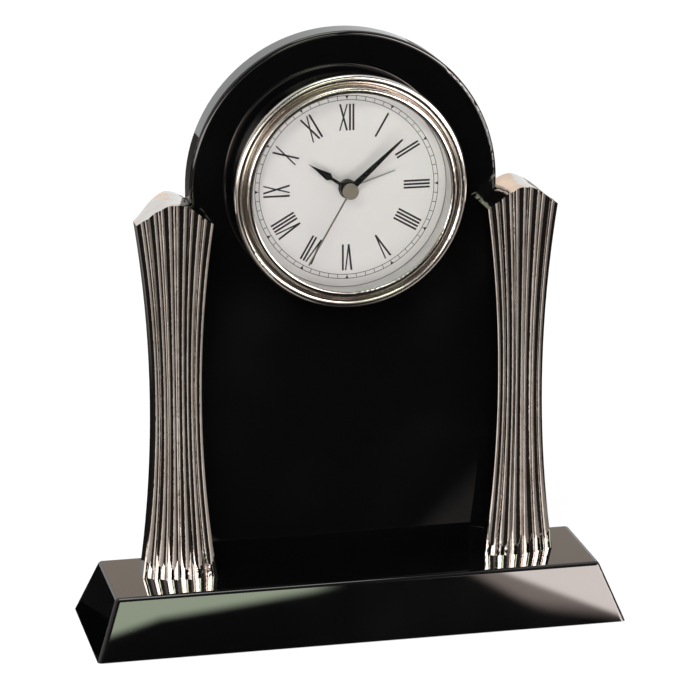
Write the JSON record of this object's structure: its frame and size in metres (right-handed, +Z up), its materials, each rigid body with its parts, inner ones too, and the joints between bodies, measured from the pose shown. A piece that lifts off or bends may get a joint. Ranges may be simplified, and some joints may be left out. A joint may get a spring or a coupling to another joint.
{
  "type": "mantel clock",
  "caption": "Arched black mantel clock on a bevelled plinth between fluted metal columns, with a round quartz alarm insert, Roman dial and setting knobs behind.",
  "frame": {"origin": "on the ground under the middle of the plinth", "axes": "+Z up, +X to the right seen from the front, the dial looks towards -Y"},
  "size_m": [0.167, 0.0503, 0.1858],
  "materials": {
    "black_lacquer": "polished black lacquer on fibreboard",
    "felt": "short pile felt",
    "polished_nickel": "polished nickel plate on a zinc casting",
    "bezel_metal": "polished plate",
    "lens_glass": "clear mineral glass",
    "white_wall": "matt",
    "dial_print": "matt printed card",
    "black_hand": "black paint",
    "bright_hand": "silver grey",
    "steel": "plain",
    "brass": "plain",
    "black_plastic": "fine texture",
    "white_plastic": "plain",
    "rubber": "plain",
    "copper": "enamelled wire",
    "board": "plain",
    "battery_can": "plain sleeve"
  },
  "bodies": {
    "root": {"base_block": "black_lacquer", "felt_pad": "felt", "case_panel": "black_lacquer", "left_column": "polished_nickel", "right_column": "polished_nickel", "panel_screws": "steel", "column_screws": "steel", "bezel": "bezel_metal", "lens": "lens_glass", "rehaut_ring": "white_wall", "dial": "dial_print", "movement_housing": "black_plastic", "rubber_fit_ring": "rubber", "rear_cover": "black_plastic", "cover_screws": "steel", "movement_back_plate": "white_plastic", "motor_stator": "steel", "motor_coil": "copper", "circuit_board": "board", "quartz_crystal": "steel", "alarm_buzzer": "brass", "battery": "battery_can", "battery_contacts": "steel"},
    "seconds": {"second_hand": "bright_hand", "second_wheel": "white_plastic"},
    "third_wheel": {"third_wheel": "white_plastic"},
    "centre_wheel": {"centre_wheel": "white_plastic"},
    "intermediate_wheel": {"intermediate_wheel": "white_plastic"},
    "motor_rotor": {"motor_rotor": "steel"},
    "minutes": {"minute_hand": "black_hand", "cannon_pinion": "brass"},
    "motion_wheel": {"motion_wheel": "white_plastic"},
    "hours": {"hour_hand": "black_hand", "hour_wheel": "brass"},
    "time_set_knob": {"time_set_knob": "black_plastic"},
    "alarm": {"alarm_hand": "bright_hand", "alarm_wheel": "brass"},
    "alarm_set_knob": {"alarm_set_knob": "black_plastic"},
    "alarm_switch": {"alarm_switch": "white_plastic"},
    "battery_cover": {"battery_cover": "black_plastic"}
  },
  "joints": [
    {"name": "second_hand_turn", "type": "hinge", "parent": "root", "child": "seconds", "pos_m": [0, 0.012, 0.138], "axis": [0, 1, 0], "continuous": true},
    {"name": "third_wheel_turn", "type": "hinge", "parent": "root", "child": "third_wheel", "pos_m": [-0.00438, 0.012, 0.14558], "axis": [0, 1, 0], "continuous": true},
    {"name": "centre_wheel_turn", "type": "hinge", "parent": "root", "child": "centre_wheel", "pos_m": [0, 0.012, 0.138], "axis": [0, 1, 0], "continuous": true},
    {"name": "intermediate_wheel_turn", "type": "hinge", "parent": "root", "child": "intermediate_wheel", "pos_m": [-0.009, 0.012, 0.138], "axis": [0, 1, 0], "continuous": true},
    {"name": "rotor_turn", "type": "hinge", "parent": "root", "child": "motor_rotor", "pos_m": [-0.01613, 0.012, 0.138], "axis": [0, 1, 0], "continuous": true},
    {"name": "minute_hand_turn", "type": "hinge", "parent": "root", "child": "minutes", "pos_m": [0, 0.012, 0.138], "axis": [0, 1, 0], "continuous": true},
    {"name": "motion_wheel_turn", "type": "hinge", "parent": "root", "child": "motion_wheel", "pos_m": [0.008, 0.012, 0.138], "axis": [0, 1, 0], "continuous": true},
    {"name": "hour_hand_turn", "type": "hinge", "parent": "root", "child": "hours", "pos_m": [0, 0.012, 0.138], "axis": [0, 1, 0], "continuous": true},
    {"name": "time_set_knob_turn", "type": "hinge", "parent": "root", "child": "time_set_knob", "pos_m": [0.016, 0.012, 0.138], "axis": [0, 1, 0], "continuous": true},
    {"name": "alarm_set_knob_turn", "type": "hinge", "parent": "root", "child": "alarm_set_knob", "pos_m": [0.005, 0.012, 0.14666], "axis": [0, 1, 0], "continuous": true},
    {"name": "alarm_hand_turn", "type": "hinge", "parent": "root", "child": "alarm", "pos_m": [0, 0.012, 0.138], "axis": [0, 1, 0], "continuous": true},
    {"name": "alarm_switch_slide", "type": "slide", "parent": "root", "child": "alarm_switch", "axis": [1, 0, 0], "range_m": [0, 0.003]},
    {"name": "battery_cover_slide", "type": "slide", "parent": "root", "child": "battery_cover", "axis": [0, 0, -1], "range_m": [0, 0.0145]}
  ],
  "couplings": [
    {"joint": "third_wheel_turn", "follows": "second_hand_turn", "ratio": -0.13333},
    {"joint": "centre_wheel_turn", "follows": "second_hand_turn", "ratio": 0.016667},
    {"joint": "intermediate_wheel_turn", "follows": "second_hand_turn", "ratio": -8},
    {"joint": "rotor_turn", "follows": "second_hand_turn", "ratio": 30},
    {"joint": "motion_wheel_turn", "follows": "minute_hand_turn", "ratio": -0.33333},
    {"joint": "hour_hand_turn", "follows": "minute_hand_turn", "ratio": 0.083333},
    {"joint": "time_set_knob_turn", "follows": "minute_hand_turn", "ratio": 1},
    {"joint": "alarm_hand_turn", "follows": "alarm_set_knob_turn", "ratio": -0.42857}
  ]
}
